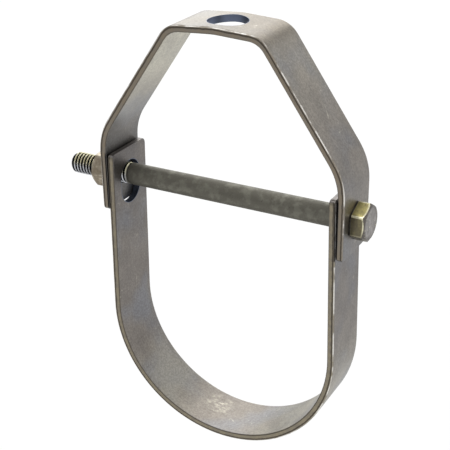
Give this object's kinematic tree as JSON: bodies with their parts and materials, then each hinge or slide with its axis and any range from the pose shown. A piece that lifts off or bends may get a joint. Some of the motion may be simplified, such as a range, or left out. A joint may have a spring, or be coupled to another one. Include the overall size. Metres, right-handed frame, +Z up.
{
  "type": "clevis pipe hanger",
  "caption": "Clevis pipe hanger: a yoke bent from flat bar hangs from a rod, and a cross bolt with a nut carries a U-shaped strap that cradles a pipe.",
  "frame": {"origin": "centre of the rod hole, halfway through the thickness of the yoke", "axes": "+Z up along the rod hole, +X along the cross bolt towards its head, +Y along the pipe"},
  "size_m": [0.1419, 0.0254, 0.1895],
  "materials": {
    "yoke_steel": "plain rolled steel, satin",
    "strap_steel": "plain rolled steel, satin",
    "bolt_zinc": "yellow passivated zinc plating, bright",
    "nut_zinc": "yellow passivated zinc plating, dull"
  },
  "bodies": {
    "yoke": {"upper_yoke": "yoke_steel"},
    "bolt": {"cross_bolt": "bolt_zinc"},
    "nut": {"hex_nut": "nut_zinc"},
    "strap": {"lower_strap": "strap_steel"}
  },
  "joints": [
    {"name": "strap_swing", "type": "hinge", "parent": "yoke", "child": "bolt", "pos_m": [0, 0, -0.07258], "axis": [1, 0, 0], "range_deg": [-90, 90]},
    {"name": "slot_slide", "type": "slide", "parent": "bolt", "child": "strap", "axis": [0, 0, 1], "range_m": [-0.00145, 0.0055]},
    {"name": "nut_turn", "type": "hinge", "parent": "bolt", "child": "nut", "pos_m": [-0.06, 0, -0.07258], "axis": [1, 0, 0], "continuous": true}
  ]
}
